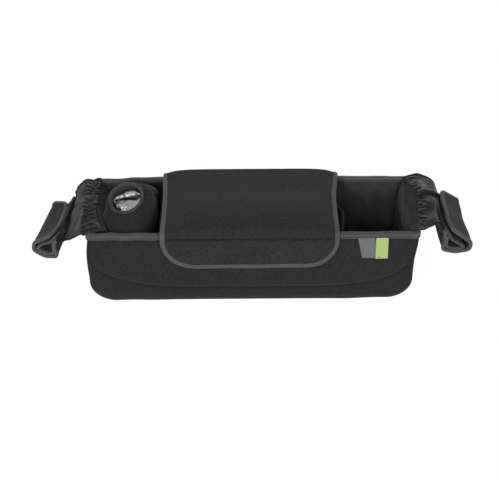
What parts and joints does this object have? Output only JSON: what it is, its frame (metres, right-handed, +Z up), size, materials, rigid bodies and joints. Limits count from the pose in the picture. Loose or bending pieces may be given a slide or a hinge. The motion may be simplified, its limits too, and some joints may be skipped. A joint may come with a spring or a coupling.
{
  "type": "stroller organizer",
  "caption": "Padded cloth organizer for a stroller handlebar: open tub with dividers, a fold-over lid, an insulated bottle pocket and wrap straps on gathered wings.",
  "frame": {"origin": "middle of the flat base, at the height of the surface it stands on", "axes": "+X runs along the length towards the open compartment's end, -Y is the front where the lid hangs, +Z is up"},
  "size_m": [0.55, 0.144, 0.1308],
  "materials": {
    "padded_knit": "matt black padded knit",
    "lining_cloth": "plain black lining cloth",
    "board": "plain stiffening board, hidden",
    "binding_tape": "dark grey woven binding tape",
    "hook_and_loop": "black hook and loop tape",
    "foil": "crinkled silver foil lining",
    "coated_cloth": "dark coated cloth with a soft shine",
    "webbing": "black strap cloth",
    "grey_weave": "plain grey woven tab",
    "green_ribbon": "plain lime green ribbon"
  },
  "bodies": {
    "root": {"shell_front": "padded_knit", "shell_back": "padded_knit", "shell_gusset": "padded_knit", "lining_front": "lining_cloth", "lining_back": "lining_cloth", "lining_gusset": "lining_cloth", "base_board": "board", "divider_left": "padded_knit", "divider_right": "padded_knit", "rim_tape": "binding_tape", "lid": "padded_knit", "lid_binding": "binding_tape", "hook_patch": "hook_and_loop", "loop_patch": "hook_and_loop", "bottle_sleeve": "padded_knit", "bottle_foil": "foil", "bottle_ring": "binding_tape", "wing_left": "coated_cloth", "wing_right": "coated_cloth", "strap_left": "webbing", "strap_right": "webbing", "strap_tape_left": "binding_tape", "strap_tape_right": "binding_tape", "strap_hook_left": "hook_and_loop", "strap_hook_right": "hook_and_loop", "label_tab": "grey_weave", "ribbon_tab": "green_ribbon"}
  },
  "joints": []
}
